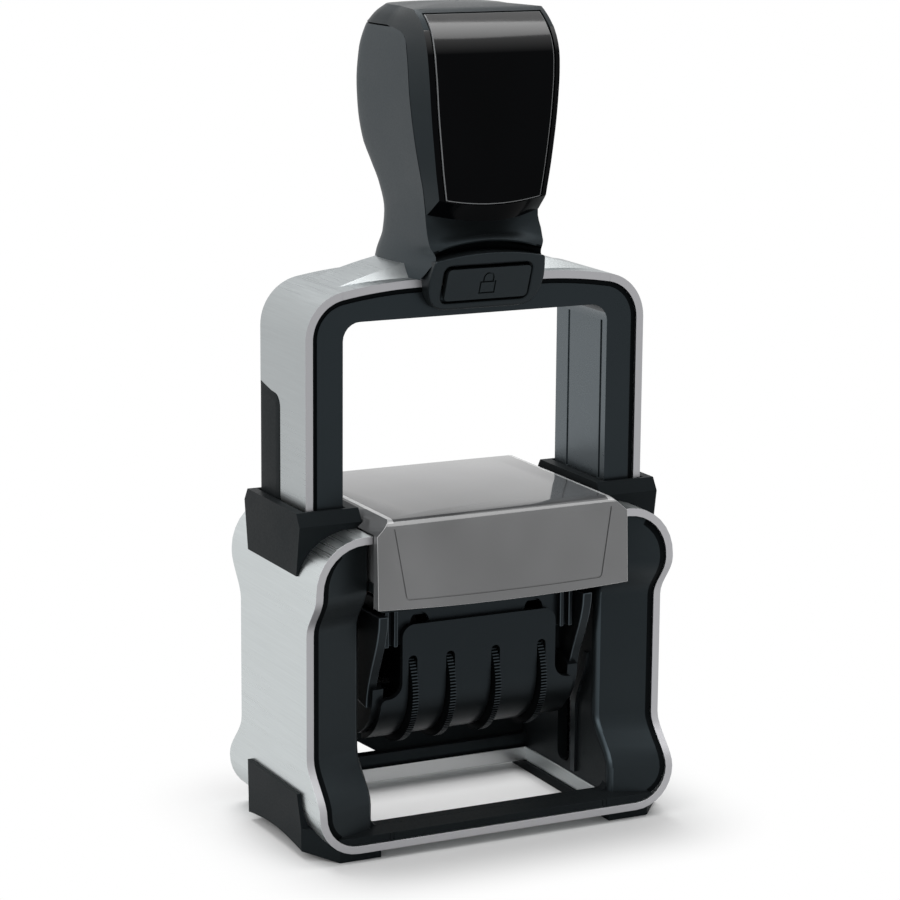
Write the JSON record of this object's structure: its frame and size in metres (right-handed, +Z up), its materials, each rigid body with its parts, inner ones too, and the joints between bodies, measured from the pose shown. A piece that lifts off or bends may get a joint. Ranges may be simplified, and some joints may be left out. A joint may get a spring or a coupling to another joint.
{
  "type": "date stamp",
  "caption": "Self-inking date stamp: a steel bow with a palm handle is pressed down through a steel-clad base and turns a dater with setting wheels from the ink pad to the paper.",
  "frame": {"origin": "on the table, under the middle of the base", "axes": "+Z up, -Y to the front with the lock button and the dater's cover, +X to the right"},
  "size_m": [0.0776, 0.0458, 0.159],
  "materials": {
    "steel": "brushed lengthwise, satin",
    "pin_steel": "turned, bright",
    "black_plastic": "moulded, satin",
    "soft_grip": "moulded, fine matt grain",
    "gloss_insert": "polished",
    "hood_smoke": "smoked, polished",
    "pad_felt": "inked felt",
    "stamp_rubber": "laser cut, matt"
  },
  "bodies": {
    "base": {"base_band": "steel", "left_pillar": "black_plastic", "right_pillar": "black_plastic", "front_sill": "black_plastic", "rear_sill": "black_plastic", "left_collar": "black_plastic", "right_collar": "black_plastic", "left_foot": "black_plastic", "right_foot": "black_plastic", "left_pad_rail": "black_plastic", "right_pad_rail": "black_plastic", "pad_hood": "hood_smoke", "left_spring_rod": "pin_steel", "right_spring_rod": "pin_steel", "left_return_spring": "pin_steel", "right_return_spring": "pin_steel"},
    "cartridge": {"pad_tray": "black_plastic", "ink_pad": "pad_felt"},
    "bow": {"bow_band": "steel", "bow_core": "black_plastic", "left_leg_strip": "black_plastic", "right_leg_strip": "black_plastic", "handle_grip": "soft_grip", "handle_strap": "black_plastic", "handle_insert": "gloss_insert", "lock_housing": "black_plastic", "left_pivot_pin": "pin_steel", "right_pivot_pin": "pin_steel"},
    "lock": {"lock_button": "black_plastic", "lock_bolt": "pin_steel"},
    "dater": {"dater_frame": "black_plastic", "dater_cover": "black_plastic", "left_arm": "black_plastic", "right_arm": "black_plastic", "wheel_axle": "pin_steel", "band_bridge": "black_plastic", "plate_carrier": "black_plastic", "text_plate": "stamp_rubber", "date_band_1": "stamp_rubber", "date_band_2": "stamp_rubber", "date_band_3": "stamp_rubber", "date_band_4": "stamp_rubber"},
    "wheel_1": {"setting_wheel_1": "black_plastic"},
    "wheel_2": {"setting_wheel_2": "black_plastic"},
    "wheel_3": {"setting_wheel_3": "black_plastic"},
    "wheel_4": {"setting_wheel_4": "black_plastic"}
  },
  "joints": [
    {"name": "bow_slide", "type": "slide", "parent": "base", "child": "bow", "axis": [0, 0, -1], "range_m": [0, 0.032], "stiffness_N_per_m": 400, "springref_m": -0.02, "deforming": ["left_return_spring", "right_return_spring"]},
    {"name": "dater_turn", "type": "hinge", "parent": "bow", "child": "dater", "pos_m": [0, 0, 0.041], "axis": [1, 0, 0], "range_deg": [0, 180]},
    {"name": "lock_press", "type": "slide", "parent": "bow", "child": "lock", "axis": [0, 1, 0], "range_m": [0, 0.002], "stiffness_N_per_m": 300, "springref_m": -0.002},
    {"name": "cartridge_slide", "type": "slide", "parent": "base", "child": "cartridge", "axis": [0, 1, 0], "range_m": [0, 0.045]},
    {"name": "wheel_1_turn", "type": "hinge", "parent": "dater", "child": "wheel_1", "pos_m": [0, -0.002, 0.0286], "axis": [1, 0, 0], "continuous": true},
    {"name": "wheel_2_turn", "type": "hinge", "parent": "dater", "child": "wheel_2", "pos_m": [0, -0.002, 0.0286], "axis": [1, 0, 0], "continuous": true},
    {"name": "wheel_3_turn", "type": "hinge", "parent": "dater", "child": "wheel_3", "pos_m": [0, -0.002, 0.0286], "axis": [1, 0, 0], "continuous": true},
    {"name": "wheel_4_turn", "type": "hinge", "parent": "dater", "child": "wheel_4", "pos_m": [0, -0.002, 0.0286], "axis": [1, 0, 0], "continuous": true}
  ],
  "couplings": [
    {"joint": "dater_turn", "follows": "bow_slide", "rad_per_m": 98.174}
  ]
}
